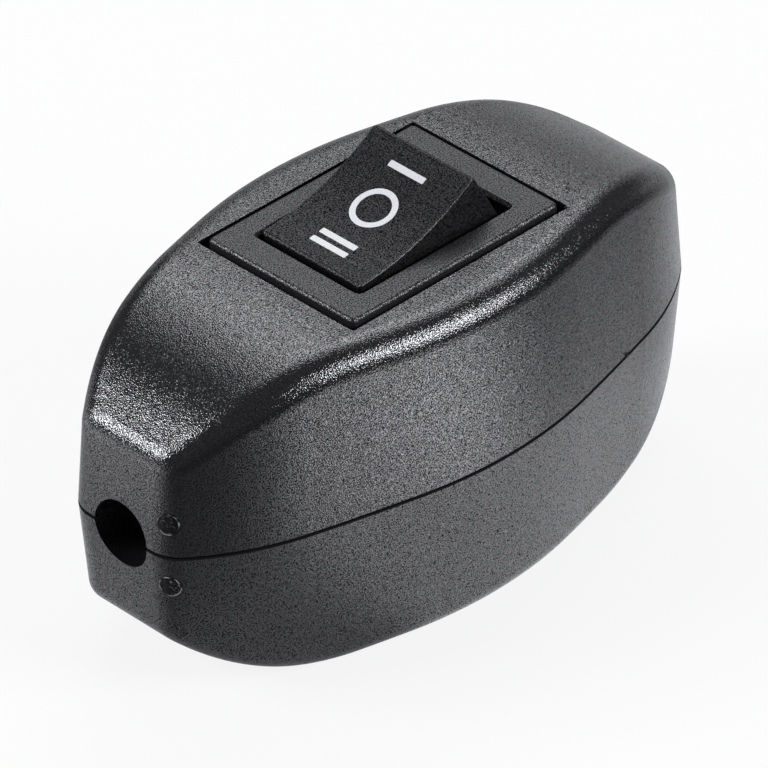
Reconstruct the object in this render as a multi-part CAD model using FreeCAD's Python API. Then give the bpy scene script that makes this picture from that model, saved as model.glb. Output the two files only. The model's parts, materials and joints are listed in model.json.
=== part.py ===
# Inline cord switch: an oval two-part moulded housing with a three-position rocker switch in its top.
# Millimetres. +X runs along the cord towards the I end, +Z is up, and the origin is the middle of the
# bottom face. The rocker is modelled with its II end, at -X, pressed.
import FreeCAD, Part
import math
import os
from FreeCAD import Vector

# Housing outline on the parting plane: four tangent arcs from the middle of a side to the flat end
LENGTH = 52.95
WIDTH = 26.05
SIDE_RADIUS = 36.0
SIDE_TURN = math.radians(13.4)
FLANK_RADIUS = 205.0
FLANK_TURN = math.radians(16.0)
SHOULDER_RADIUS = 22.8
CORNER_RADIUS = 2.95

# Housing halves
PARTING = 13.4
TOP_HEIGHT = 13.62
TOP_DRAFT = math.radians(4.0)
BOTTOM_DRAFT = math.radians(4.5)
WALL = 1.8
TOP_CHAMFER = (7.95, 6.22)
BOTTOM_CHAMFER = (6.5, 6.5)
CHAMFER_ARC = 19.0
TOP_FILLET = 2.3
BOTTOM_FILLET = 1.8
SEAM_BEVEL = 0.08
SHADOW_GAP = 0.2
SHADOW_GAP_DEPTH = 0.5
LIP_HEIGHT = 0.9
LIP_OUTSIDE = 0.95
LIP_CLEARANCE = 0.1

# Cord inlets and cord clamps
CORD_HOLE_RADIUS = 2.67
COLLAR_RADIUS = 4.3
COLLAR_LENGTH = 4.0
CLAMP_X = 19.4
CLAMP_SCREW_Y = 4.55
CLAMP_WIDTH = 3.4
CLAMP_PLATE = 1.6
CLAMP_ARCH_RADIUS = 2.9
CLAMP_RIDGE_RADIUS = 2.7
CLAMP_RIDGE_WIDTH = 0.8
CLAMP_HUMP = ((3.05, 1.6), (2.0, 4.2))
POST_RADIUS = 1.75
SADDLE_THICKNESS = 1.6
CLAMP_SCREW = dict(shank=1.0, length=8.0, head=1.45, head_height=1.2)
CLAMP_SCREW_CLEARANCE = 0.1
CLAMP_PILOT_RADIUS = 0.85

# Housing screws, on one diagonal
SCREW_X = 14.0
SCREW_Y = 6.2
HOUSING_SCREW = dict(shank=1.25, length=16.0, head=2.1, head_height=1.5)
HEAD_SHOULDER = (0.75, 0.85)
CROSS_WIDTH = 0.26
CROSS_DEPTH = 0.55
SCREW_SEAT = 4.0
COUNTERBORE_RADIUS = 2.3
SCREW_CLEARANCE_RADIUS = 1.45
SCREW_PILOT_RADIUS = 1.05
SCREW_PILOT_DEPTH = 8.0
LOWER_BOSS_RADIUS = 3.2
UPPER_BOSS_RADIUS = 2.4
FLOOR_RIB = dict(thickness=1.2, height=2.2)

# Switch recess and panel in the upper shell
FLANGE = (20.8, 14.85, 2.0)
FLANGE_PROUD = 0.38
RECESS_GAP = 0.52
RECESS_CORNER = 0.2
PANEL_THICKNESS = 1.5
PANEL_PAD = (26.0, 20.0)
CUTOUT = (19.2, 13.0)

# Switch body
BODY = (18.8, 12.8)
BODY_DEPTH = 12.5
BASE_THICKNESS = 1.5
OPENING = (15.3, 10.5)
BODY_CORNER = 0.5
FLANGE_CORNER = 0.4
OPENING_CORNER = 0.3
FLANGE_EDGE = 0.35
MOUTH_BEVEL = 0.25
BARB = dict(width=5.0, reach=0.9, height=2.8, root=0.2, play=0.05)
TONGUE_SLOT = 0.6
TONGUE_LENGTH = 5.0
TONGUE_TOP = 0.4

# Rocker cap, seen from its side with its pivot as the origin
PIVOT_DEPTH = 2.54
TILT = 18.5
CAP_HALF_TOP = 6.07
CAP_TOP = 4.98
CAP_DISH_RADIUS = 21.0
CAP_HALF_WAIST = 7.05
CAP_HALF_FOOT = 6.6
CAP_FOOT = -1.6
CAP_WIDTH = 10.0
CAP_SIDE_WALL = 1.2
CAP_ROOF = 1.4
CAP_CORNER = 0.3
CAP_EDGE = 0.14
CAP_WEB = 1.0
PIN_RADIUS = 1.1
PIN_LENGTH = 1.1
PIN_CLEARANCE = 0.05
STEM_RADIUS = 2.2
STEM_END = -4.6
STEM_BORE_END = 2.0
STEM_BORE_RADIUS = 1.45

# Plunger and spring
PLUNGER_RADIUS = 1.4
PLUNGER_SHOULDER = -2.6
SPIGOT_RADIUS = 0.7
SPIGOT_LENGTH = 1.0
SPRING_RADIUS = 1.1
SPRING_WIRE_RADIUS = 0.17
SPRING_TURNS = 6
SPRING_PLAY = 0.02

# Rocking contact bridge, seen from its side with its knife edge as the origin
BRIDGE_AXIS = 1.8
BRIDGE_TILT = 8.0
BRIDGE_WIDTH = 3.8
BRIDGE_HALF_LENGTH = 7.2
BRIDGE_ARM = (1.0, 1.7)
BRIDGE_TIP_RADIUS = 1.2
BRIDGE_CREST = (2.9, 0.08)
BRIDGE_SHOULDER_X = 3.9
BRIDGE_BELLY = ((3.4, 1.0), (1.9, 0.35))
TROUGH_BOTTOM = 1.12
TROUGH_HALF = 2.45
TROUGH_GAP = 0.08
KNIFE_RADIUS = 0.6
KNIFE_GROOVE = 0.65
KNIFE_GROOVE_EDGE = 0.2
GUIDE_WALL = (2.0, 0.8, 3.4)
GUIDE_GAP = 0.3

# Contact rivets and terminals
RIVET_X = 5.9
RIVET_RADIUS = 1.2
RIVET_SHANK = 0.55
RIVET_HOLE = 0.6
RIVET_RIM = 0.25
RIVET_DOME = 0.25
FIXED_RIVET_HEIGHT = 0.58
FIXED_RIVET_BEVEL = 0.12
TERMINAL_X = 6.8
TERMINAL_THICKNESS = 0.8
TERMINAL_WIDTH = 4.8
TERMINAL_REACH = 6.7
TERMINAL_TAB = 4.5
TERMINAL_TAB_INSET = 0.8
TERMINAL_BEVEL = 0.8
TERMINAL_EYE = (0.9, 2.4)
SLOT_GAP = 0.05

# Heights worked out from the above
TOP = PARTING + TOP_HEIGHT
FLANGE_TOP = TOP + FLANGE_PROUD
RECESS_FLOOR = FLANGE_TOP - FLANGE[2]
PANEL_UNDERSIDE = RECESS_FLOOR - PANEL_THICKNESS
BODY_BOTTOM = RECESS_FLOOR - BODY_DEPTH
BASE_FLOOR = BODY_BOTTOM + BASE_THICKNESS
PIVOT = Vector(0, 0, FLANGE_TOP - PIVOT_DEPTH)
KNIFE = Vector(0, 0, BASE_FLOOR + BRIDGE_AXIS)
TIP_CENTRE = PIVOT.z - KNIFE.z - TROUGH_BOTTOM - TROUGH_GAP - PLUNGER_RADIUS

X_AXIS = Vector(1, 0, 0)
Y_AXIS = Vector(0, 1, 0)
Z_AXIS = Vector(0, 0, 1)
OVERRUN = 3.0


def box(size_x, size_y, low, high, x=0.0, y=0.0):
    """Box centred on x and y, between two heights."""
    corner = Vector(x - size_x / 2, y - size_y / 2, low)
    return Part.makeBox(size_x, size_y, high - low, corner)


def post(radius, low, high, x=0.0, y=0.0):
    """Upright cylinder between two heights."""
    return Part.makeCylinder(radius, high - low, Vector(x, y, low))


def rod_along_x(radius, start, end, z):
    """Cylinder along X at height z."""
    return Part.makeCylinder(radius, end - start, Vector(start, 0, z), X_AXIS)


def rounded_box(size_x, size_y, low, high, corner, x=0.0):
    """Box with rounded upright edges."""
    solid = box(size_x, size_y, low, high, x)
    upright = [e for e in solid.Edges if e.BoundBox.ZLength > 0.9 * (high - low)]
    return solid.makeFillet(corner, upright)


def prism_along_y(edges, width):
    """Solid of a closed profile in the XZ plane, extruded to both sides of y = 0."""
    solid = Part.Face(Part.Wire(edges)).extrude(Vector(0, width, 0))
    solid.translate(Vector(0, -width / 2, 0))
    return solid


def polyline(points):
    """Straight edges through points, left open."""
    return [Part.LineSegment(a, b).toShape() for a, b in zip(points, points[1:])]


def arc(start, middle, end):
    """Arc edge through three points."""
    return Part.Arc(start, middle, end).toShape()


def corner_arc(before, corner, after, radius):
    """Start, middle and end of the arc that rounds a corner of a polygon."""
    back = (before - corner).normalize()
    ahead = (after - corner).normalize()
    half_angle = back.getAngle(ahead) / 2
    centre = corner + (back + ahead).normalize() * (radius / math.sin(half_angle))
    run = radius / math.tan(half_angle)
    middle = centre + (corner - centre).normalize() * radius
    return corner + back * run, middle, corner + ahead * run


def quarter_arcs(inset):
    """Arcs of a quarter of the outline, inset towards the inside, from the side to the flat end."""
    shoulder_start = SIDE_RADIUS * math.sin(SIDE_TURN)
    shoulder_start += FLANK_RADIUS * (math.sin(FLANK_TURN) - math.sin(SIDE_TURN))
    reach = LENGTH / 2 - shoulder_start + SHOULDER_RADIUS * math.sin(FLANK_TURN) - CORNER_RADIUS
    shoulder_turn = math.asin(reach / (SHOULDER_RADIUS - CORNER_RADIUS))
    radii = (SIDE_RADIUS, FLANK_RADIUS, SHOULDER_RADIUS, CORNER_RADIUS)
    turns = (SIDE_TURN, FLANK_TURN, shoulder_turn, math.pi / 2)
    arcs = []
    point = Vector(0, WIDTH / 2 - inset, 0)
    heading = 0.0
    for full_radius, turn in zip(radii, turns):
        radius = full_radius - inset
        centre = point - Vector(math.sin(heading), math.cos(heading), 0) * radius
        angles = (heading, (heading + turn) / 2, turn)
        arcs.append([centre + Vector(math.sin(a), math.cos(a), 0) * radius for a in angles])
        point = arcs[-1][-1]
        heading = turn
    return arcs


def outline(inset, z):
    """Closed outline of the housing at height z, inset from the parting outline."""
    quarter = quarter_arcs(inset)
    side_end = quarter[0][-1]
    end_corner = quarter[-1][-1]

    def placed(point, flip_x, flip_y):
        return Vector(point.x * flip_x, point.y * flip_y, z)

    edges = []
    for sign in (1, -1):
        edges.append(arc(placed(side_end, -sign, sign), placed(quarter[0][0], sign, sign),
                         placed(side_end, sign, sign)))
        for points in quarter[1:]:
            edges.append(arc(*[placed(p, sign, sign) for p in points]))
        edges += polyline([placed(end_corner, sign, sign), placed(end_corner, sign, -sign)])
        for points in reversed(quarter[1:]):
            edges.append(arc(*[placed(p, sign, -sign) for p in reversed(points)]))
    return Part.Wire(edges)


def end_profile(height, chamfer_start, slope, arc_radius, side):
    """Prism across the housing whose side view has the flat face and the sloped ends of one half."""
    far_x = LENGTH / 2 + OVERRUN
    far_z = side * (height - slope * (far_x - chamfer_start))
    left = Vector(-far_x, 0, far_z)
    right = Vector(far_x, 0, far_z)
    left_corner = Vector(-chamfer_start, 0, side * height)
    right_corner = Vector(chamfer_start, 0, side * height)
    left_arc = corner_arc(left, left_corner, right_corner, arc_radius)
    right_arc = corner_arc(left_corner, right_corner, right, arc_radius)
    edges = polyline([left, left_arc[0]])
    edges.append(arc(*left_arc))
    edges += polyline([left_arc[2], right_arc[0]])
    edges.append(arc(*right_arc))
    edges += polyline([right_arc[2], right, Vector(far_x, 0, 0), Vector(-far_x, 0, 0), left])
    return prism_along_y(edges, 2 * WIDTH)


def half_form(side):
    """Height, draft and end chamfer of one half: 1 is the upper one, -1 the lower one."""
    if side > 0:
        return TOP_HEIGHT, TOP_DRAFT, TOP_CHAMFER
    return PARTING, BOTTOM_DRAFT, BOTTOM_CHAMFER


def outer_form(side, fillet):
    """Outside of one half: drafted walls, sloped ends and one rounded edge all round."""
    height, draft, (run, drop) = half_form(side)
    far_inset = height * math.tan(draft)
    sections = [outline(SEAM_BEVEL, 0), outline(0, side * SEAM_BEVEL), outline(far_inset, side * height)]
    body = Part.makeLoft(sections, True, True)
    body = body.common(end_profile(height, LENGTH / 2 - run, drop / run, CHAMFER_ARC, side))
    rim = []
    for edge in body.Edges:
        bounds = edge.BoundBox
        near_parting = min(abs(bounds.ZMin), abs(bounds.ZMax)) < height / 4
        runs_across = bounds.YLength > WIDTH / 4 and abs(bounds.YMin + bounds.YMax) < 0.001
        if not near_parting and not runs_across:
            rim.append(edge)
    return body.makeFillet(fillet, rim)


def inner_form(side):
    """Space inside one half, one wall in from its outside."""
    height, draft, (run, drop) = half_form(side)
    depth = height - WALL
    start = LENGTH / 2 - run - WALL * (math.hypot(run, drop) - run) / drop
    sections = [outline(WALL, 0), outline(WALL + depth * math.tan(draft), side * depth)]
    body = Part.makeLoft(sections, True, True)
    return body.common(end_profile(depth, start, drop / run, CHAMFER_ARC - WALL, side))


def flat_ring(outside, inside, low, high):
    """Upright ring between two insets of the outline."""
    rise = Vector(0, 0, high - low)
    outer = Part.Face(outline(outside, low)).extrude(rise)
    return outer.cut(Part.Face(outline(inside, low)).extrude(rise))


def inlet_collars():
    """Round collars that carry the cord holes inside both ends."""
    collars = []
    for side in (-1, 1):
        inner = side * (LENGTH / 2 - COLLAR_LENGTH)
        outer = side * LENGTH / 2
        collars.append(rod_along_x(COLLAR_RADIUS, min(inner, outer), max(inner, outer), 0))
    return collars


def cord_holes():
    """The two cord holes, running out of the ends."""
    inner = LENGTH / 2 - COLLAR_LENGTH - OVERRUN / 4
    outer = LENGTH / 2 + OVERRUN
    return [rod_along_x(CORD_HOLE_RADIUS, inner, outer, 0), rod_along_x(CORD_HOLE_RADIUS, -outer, -inner, 0)]


def screw_places():
    """Places of the two housing screws, on one diagonal."""
    return [(SCREW_X, -SCREW_Y), (-SCREW_X, SCREW_Y)]


def clamp_screw_places():
    """Places of the four clamp screws."""
    return [(x, y) for x in (-CLAMP_X, CLAMP_X) for y in (-CLAMP_SCREW_Y, CLAMP_SCREW_Y)]


def upper_housing():
    """Upper shell with the switch recess, two screw bosses, a rebate and a shadow gap along the seam."""
    panel = PANEL_UNDERSIDE - PARTING
    space = inner_form(1)
    space = space.cut(box(*PANEL_PAD, panel, TOP_HEIGHT))
    for x, y in screw_places():
        space = space.cut(post(UPPER_BOSS_RADIUS, 0, TOP_HEIGHT, x, y))
    space = space.cut(inlet_collars())
    shell = outer_form(1, TOP_FILLET).cut(space)
    recess_x, recess_y = (size + 2 * RECESS_GAP for size in FLANGE[:2])
    floor = RECESS_FLOOR - PARTING
    recess = rounded_box(recess_x, recess_y, floor, TOP_HEIGHT + OVERRUN, RECESS_CORNER)
    cuts = [recess, box(*CUTOUT, panel - OVERRUN, TOP_HEIGHT)]
    for x, y in screw_places():
        cuts.append(post(SCREW_PILOT_RADIUS, -1, SCREW_PILOT_DEPTH, x, y))
    cuts.append(flat_ring(LIP_OUTSIDE - LIP_CLEARANCE, WALL + LIP_CLEARANCE, -1, LIP_HEIGHT + LIP_CLEARANCE))
    cuts.append(flat_ring(-OVERRUN, SHADOW_GAP_DEPTH, -1, SHADOW_GAP))
    shell = shell.cut(cuts + cord_holes())
    shell.translate(Vector(0, 0, PARTING))
    return shell


def clamp_saddle(side):
    """Rib with a half-round notch and two posts, under one cord clamp."""
    saddle = box(SADDLE_THICKNESS, WIDTH, -PARTING, 0, side * CLAMP_X)
    for y in (-CLAMP_SCREW_Y, CLAMP_SCREW_Y):
        saddle = saddle.fuse(post(POST_RADIUS, -PARTING, 0, side * CLAMP_X, y))
    notch = rod_along_x(CLAMP_ARCH_RADIUS, side * CLAMP_X - OVERRUN, side * CLAMP_X + OVERRUN, 0)
    return saddle.cut(notch)


def lower_housing():
    """Lower shell with counterbored screw bosses, cord saddles, floor ribs and a lip."""
    space = inner_form(-1)
    for x, y in screw_places():
        space = space.cut(post(LOWER_BOSS_RADIUS, -PARTING, 0, x, y))
    rib_top = WALL - PARTING + FLOOR_RIB["height"]
    for side in (-1, 1):
        space = space.cut(clamp_saddle(side))
        space = space.cut(box(FLOOR_RIB["thickness"], WIDTH, -PARTING, rib_top, side * BODY[0] / 2))
    space = space.cut(inlet_collars())
    shell = outer_form(-1, BOTTOM_FILLET).cut(space)
    shell = shell.fuse(flat_ring(LIP_OUTSIDE, WALL, -WALL, LIP_HEIGHT))
    cuts = cord_holes()
    for x, y in screw_places():
        cuts.append(post(SCREW_CLEARANCE_RADIUS, -PARTING, 1, x, y))
        cuts.append(post(COUNTERBORE_RADIUS, -PARTING - 1, SCREW_SEAT - PARTING, x, y))
    for x, y in clamp_screw_places():
        cuts.append(post(CLAMP_PILOT_RADIUS, -CLAMP_SCREW["length"], 1, x, y))
    shell = shell.cut(cuts).removeSplitter()
    shell.translate(Vector(0, 0, PARTING))
    return shell


def screw(shank, length, head, head_height):
    """Self-tapping screw with a domed cross-recess head under z = 0 and its point up."""
    rim = Vector(head, 0, -head_height / 2)
    shoulder = Vector(head * HEAD_SHOULDER[0], 0, -head_height * HEAD_SHOULDER[1])
    crown = Vector(0, 0, -head_height)
    edges = polyline([Vector(0, 0, length), Vector(shank, 0, length - 2 * shank), Vector(shank, 0, 0),
                      Vector(head, 0, 0), rim])
    edges.append(arc(rim, shoulder, crown))
    edges += polyline([crown, Vector(0, 0, length)])
    solid = Part.Face(Part.Wire(edges)).revolve(Vector(0, 0, 0), Z_AXIS, 360)
    slot = head * CROSS_WIDTH
    for size in ((slot, head), (head, slot)):
        solid = solid.cut(box(*size, -head_height - 1, head_height * (CROSS_DEPTH - 1)))
    return solid


def housing_screw(x, y):
    """Housing screw from below, its head in the counterbore."""
    solid = screw(**HOUSING_SCREW)
    solid.translate(Vector(x, y, SCREW_SEAT))
    return solid


def clamp_screw(x, y):
    """Clamp screw from above, through the clamp bar into its post."""
    solid = screw(**CLAMP_SCREW)
    solid.rotate(Vector(0, 0, 0), X_AXIS, 180)
    solid.translate(Vector(x, y, PARTING + CLAMP_PLATE))
    return solid


def cord_clamp(side):
    """Clamp bar: two lands for its screws and an arch with a ridge over the cord."""
    half = CLAMP_SCREW_Y + CLAMP_WIDTH / 2
    (hump_y, land), (crest_y, crest) = CLAMP_HUMP
    profile = [Vector(0, y, z) for y, z in ((-half, 0), (-half, land), (-hump_y, land), (-crest_y, crest),
                                            (crest_y, crest), (hump_y, land), (half, land), (half, 0))]
    bar = Part.Face(Part.Wire(polyline(profile + profile[:1]))).extrude(Vector(CLAMP_WIDTH, 0, 0))
    bar.translate(Vector(-CLAMP_WIDTH / 2, 0, 0))
    ends = [box(CLAMP_WIDTH, 2 * CLAMP_SCREW_Y, -1, crest + 1)]
    ends += [post(CLAMP_WIDTH / 2, -1, crest + 1, 0, y) for y in (-CLAMP_SCREW_Y, CLAMP_SCREW_Y)]
    bar = bar.common(ends[0].fuse(ends[1:]))
    ridge = CLAMP_RIDGE_WIDTH / 2
    bar = bar.cut(rod_along_x(CLAMP_RIDGE_RADIUS, -OVERRUN, OVERRUN, 0))
    bar = bar.cut(rod_along_x(CLAMP_ARCH_RADIUS, ridge, OVERRUN, 0))
    bar = bar.cut(rod_along_x(CLAMP_ARCH_RADIUS, -OVERRUN, -ridge, 0))
    for y in (-CLAMP_SCREW_Y, CLAMP_SCREW_Y):
        bar = bar.cut(post(CLAMP_SCREW["shank"] + CLAMP_SCREW_CLEARANCE, -1, crest, 0, y))
    bar.translate(Vector(side * CLAMP_X, 0, PARTING))
    return bar


def snap_barb(side):
    """Wedge on an end wall that catches under the panel."""
    wall = side * BODY[0] / 2
    top = PANEL_UNDERSIDE - BARB["play"]
    inside = Vector(wall - side * BARB["root"], 0, top)
    points = [inside, Vector(wall + side * BARB["reach"], 0, top), Vector(wall, 0, top - BARB["height"]),
              Vector(inside.x, 0, top - BARB["height"]), inside]
    return prism_along_y(polyline(points), BARB["width"])


def tongue_slots(side):
    """Slot round three sides of the springy tongue that carries a barb."""
    wall = side * (BODY[0] + OPENING[0]) / 4
    half = BARB["width"] / 2 + TONGUE_SLOT
    top = RECESS_FLOOR - TONGUE_TOP
    slots = [box(OVERRUN, 2 * half, top - TONGUE_SLOT, top, wall)]
    for y in (-half + TONGUE_SLOT / 2, half - TONGUE_SLOT / 2):
        slots.append(box(OVERRUN, TONGUE_SLOT, top - TONGUE_LENGTH, top, wall, y))
    return slots


def terminal_slot(x):
    """Slot in the base that a terminal blade passes through."""
    return box(TERMINAL_THICKNESS + 2 * SLOT_GAP, TERMINAL_WIDTH + 2 * SLOT_GAP, BODY_BOTTOM - 1,
               BASE_FLOOR + SLOT_GAP, x)


def switch_frame():
    """Flange, snap-in body, pivot bores, guide walls and base of the switch, in one moulding."""
    flange = rounded_box(FLANGE[0], FLANGE[1], RECESS_FLOOR, FLANGE_TOP, FLANGE_CORNER)
    rim = [e for e in flange.Edges if e.BoundBox.ZMin > FLANGE_TOP - 0.01]
    flange = flange.makeFillet(FLANGE_EDGE, rim)
    frame = flange.fuse(rounded_box(*BODY, BODY_BOTTOM, RECESS_FLOOR + 1, BODY_CORNER))
    frame = frame.cut(rounded_box(*OPENING, BASE_FLOOR, FLANGE_TOP + 1, OPENING_CORNER))
    mouth = [size + 2 * MOUTH_BEVEL for size in OPENING]
    sections = [rounded_wire(OPENING, OPENING_CORNER, FLANGE_TOP - MOUTH_BEVEL),
                rounded_wire(mouth, OPENING_CORNER + MOUTH_BEVEL, FLANGE_TOP)]
    frame = frame.cut(Part.makeLoft(sections, True, True))
    guide_length, guide_width, guide_height = GUIDE_WALL
    for side in (-1, 1):
        frame = frame.cut(tongue_slots(side)).fuse(snap_barb(side))
        guide_y = side * (BRIDGE_WIDTH / 2 + GUIDE_GAP + guide_width / 2)
        frame = frame.fuse(box(guide_length, guide_width, BASE_FLOOR, BASE_FLOOR + guide_height, 0, guide_y))
    start = Vector(0, -BODY[1] / 2 - 1, PIVOT.z)
    bore = Part.makeCylinder(PIN_RADIUS + PIN_CLEARANCE, BODY[1] + 2, start, Y_AXIS)
    slots = [terminal_slot(x) for x in (-TERMINAL_X, 0, TERMINAL_X)]
    return frame.cut([bore] + slots).removeSplitter()


def rounded_wire(size, corner, z):
    """Rounded rectangle as a wire at height z."""
    plate = rounded_box(size[0], size[1], z, z + 1, corner)
    face = min(plate.Faces, key=lambda f: f.CenterOfMass.z)
    return face.OuterWire


def dished(half, height, drop):
    """Arc across the cap at a height, sagging by the dish."""
    sag = CAP_DISH_RADIUS - math.sqrt(CAP_DISH_RADIUS ** 2 - half ** 2)
    level = height - drop
    return arc(Vector(half, 0, level), Vector(0, 0, level - sag), Vector(-half, 0, level))


def cap_profile():
    """Side view of the rocker cap about its pivot."""
    edges = polyline([Vector(-CAP_HALF_TOP, 0, CAP_TOP), Vector(-CAP_HALF_WAIST, 0, 0),
                      Vector(-CAP_HALF_FOOT, 0, CAP_FOOT), Vector(CAP_HALF_FOOT, 0, CAP_FOOT),
                      Vector(CAP_HALF_WAIST, 0, 0), Vector(CAP_HALF_TOP, 0, CAP_TOP)])
    edges.append(dished(CAP_HALF_TOP, CAP_TOP, 0))
    return edges


def cap_hollow():
    """Hollow under the cap's roof, about the pivot."""
    top_half = CAP_HALF_TOP - CAP_SIDE_WALL
    waist = CAP_HALF_WAIST - CAP_SIDE_WALL
    below = CAP_FOOT - 1
    roof = CAP_TOP - CAP_ROOF
    edges = polyline([Vector(-top_half, 0, roof), Vector(-waist, 0, 0), Vector(-waist, 0, below),
                      Vector(waist, 0, below), Vector(waist, 0, 0), Vector(top_half, 0, roof)])
    edges.append(dished(top_half, CAP_TOP, CAP_ROOF))
    return prism_along_y(edges, CAP_WIDTH - 2 * CAP_SIDE_WALL)


def tilted_with_rocker(solid):
    """Moves a solid from the rocker's own frame to its place with the II end pressed."""
    solid.rotate(Vector(0, 0, 0), Y_AXIS, -TILT)
    solid.translate(PIVOT)
    return solid


def rocker_cap():
    """Concave rocker cap with its stem and its two pivot pins."""
    cap = prism_along_y(cap_profile(), CAP_WIDTH)
    corners = [e for e in cap.Edges if e.BoundBox.ZMax > CAP_TOP / 4 and e.BoundBox.XLength < CAP_HALF_TOP
               and (e.BoundBox.ZMin > CAP_TOP - 0.01 or e.BoundBox.YLength < 0.01)]
    cap = cap.makeFillet(CAP_CORNER, corners)
    rim = [e for e in cap.Edges if e.BoundBox.XLength > CAP_HALF_TOP and e.BoundBox.ZMin > CAP_TOP / 2]
    cap = cap.makeFillet(CAP_EDGE, rim)
    web = box(CAP_WEB, CAP_WIDTH - CAP_SIDE_WALL, 0, CAP_TOP)
    stem = post(STEM_RADIUS, STEM_END, CAP_TOP)
    cap = cap.cut(cap_hollow().cut([stem, web])).fuse(post(STEM_RADIUS, STEM_END, 0))
    pin_end = Vector(0, -CAP_WIDTH / 2 - PIN_LENGTH, 0)
    pins = Part.makeCylinder(PIN_RADIUS, CAP_WIDTH + 2 * PIN_LENGTH, pin_end, Y_AXIS)
    pins = pins.cut(box(2 * STEM_RADIUS, CAP_WIDTH - 1.5 * CAP_SIDE_WALL, -OVERRUN, OVERRUN))
    cap = cap.fuse(pins)
    cap = cap.cut(post(STEM_BORE_RADIUS, STEM_END - 1, STEM_BORE_END)).removeSplitter()
    return tilted_with_rocker(cap)


def plunger():
    """Round-nosed plunger in the rocker's stem, with a spigot for its spring."""
    nose = -TIP_CENTRE
    halfway = PLUNGER_RADIUS * math.sqrt(0.5)
    edges = [arc(Vector(0, 0, nose - PLUNGER_RADIUS), Vector(halfway, 0, nose - halfway),
                 Vector(PLUNGER_RADIUS, 0, nose))]
    edges += polyline([Vector(PLUNGER_RADIUS, 0, nose), Vector(PLUNGER_RADIUS, 0, PLUNGER_SHOULDER),
                       Vector(SPIGOT_RADIUS, 0, PLUNGER_SHOULDER),
                       Vector(SPIGOT_RADIUS, 0, PLUNGER_SHOULDER + SPIGOT_LENGTH),
                       Vector(0, 0, PLUNGER_SHOULDER + SPIGOT_LENGTH), Vector(0, 0, nose - PLUNGER_RADIUS)])
    return tilted_with_rocker(Part.Face(Part.Wire(edges)).revolve(Vector(0, 0, 0), Z_AXIS, 360))


def plunger_spring():
    """Coil spring between the plunger's shoulder and the end of the stem's bore."""
    end_gap = SPRING_WIRE_RADIUS + SPRING_PLAY
    length = STEM_BORE_END - PLUNGER_SHOULDER - 2 * end_gap
    path = Part.makeHelix(length / SPRING_TURNS, length, SPRING_RADIUS)
    wire = Part.Wire(Part.Circle(Vector(SPRING_RADIUS, 0, 0), Y_AXIS, SPRING_WIRE_RADIUS).toShape())
    coil = Part.Wire(path).makePipeShell([wire], True, True)
    coil.translate(Vector(0, 0, PLUNGER_SHOULDER + end_gap))
    return tilted_with_rocker(coil)


def tilted_with_bridge(solid):
    """Moves a solid from the bridge's own frame to its place with its +X arm down."""
    solid.rotate(Vector(0, 0, 0), Y_AXIS, BRIDGE_TILT)
    solid.translate(KNIFE)
    return solid


def trough_arc():
    """Arc of the trough that the plunger's nose runs along, about the knife edge."""
    rest = -(PIVOT.z - KNIFE.z)
    tilt = math.radians(TILT)
    lean = math.radians(BRIDGE_TILT)
    nose_x = TIP_CENTRE * math.sin(tilt)
    nose_z = -rest - TIP_CENTRE * math.cos(tilt)
    end_x = nose_x * math.cos(lean) - nose_z * math.sin(lean)
    end_z = nose_x * math.sin(lean) + nose_z * math.cos(lean)
    rise = end_z - (TROUGH_BOTTOM + TROUGH_GAP + PLUNGER_RADIUS)
    radius = (end_x ** 2 + rise ** 2) / (2 * rise) + PLUNGER_RADIUS + TROUGH_GAP
    edge_z = TROUGH_BOTTOM + radius - math.sqrt(radius ** 2 - TROUGH_HALF ** 2)
    ends = [Vector(x, 0, edge_z) for x in (-TROUGH_HALF, TROUGH_HALF)]
    return ends[0], Vector(0, 0, TROUGH_BOTTOM), ends[1]


def contact_bridge():
    """Rocking contact: a trough for the plunger, a groove for the knife edge and two arms."""
    under, over = BRIDGE_ARM
    left, bottom, right = trough_arc()
    groove_x = math.sqrt(KNIFE_GROOVE ** 2 - KNIFE_GROOVE_EDGE ** 2)
    half = [Vector(BRIDGE_CREST[0], 0, right.z + BRIDGE_CREST[1]), Vector(BRIDGE_SHOULDER_X, 0, over),
            Vector(BRIDGE_HALF_LENGTH, 0, over), Vector(BRIDGE_HALF_LENGTH, 0, under)]
    half += [Vector(x, 0, z) for x, z in BRIDGE_BELLY]
    half.append(Vector(groove_x, 0, KNIFE_GROOVE_EDGE))
    mirrored = [Vector(-p.x, 0, p.z) for p in reversed(half)]
    edges = [arc(left, bottom, right)]
    edges += polyline([right] + half)
    edges.append(arc(half[-1], Vector(0, 0, KNIFE_GROOVE), mirrored[0]))
    edges += polyline(mirrored + [left])
    bridge = prism_along_y(edges, BRIDGE_WIDTH)
    tips = [e for e in bridge.Edges if e.BoundBox.ZLength > 0.5 and e.BoundBox.XLength < 0.01
            and abs(e.BoundBox.XMin) > BRIDGE_HALF_LENGTH - 0.01]
    bridge = bridge.makeFillet(BRIDGE_TIP_RADIUS, tips)
    for x in (-RIVET_X, RIVET_X):
        bridge = bridge.cut(post(RIVET_HOLE, 0, over + 1, x))
    return tilted_with_bridge(bridge)


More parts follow.
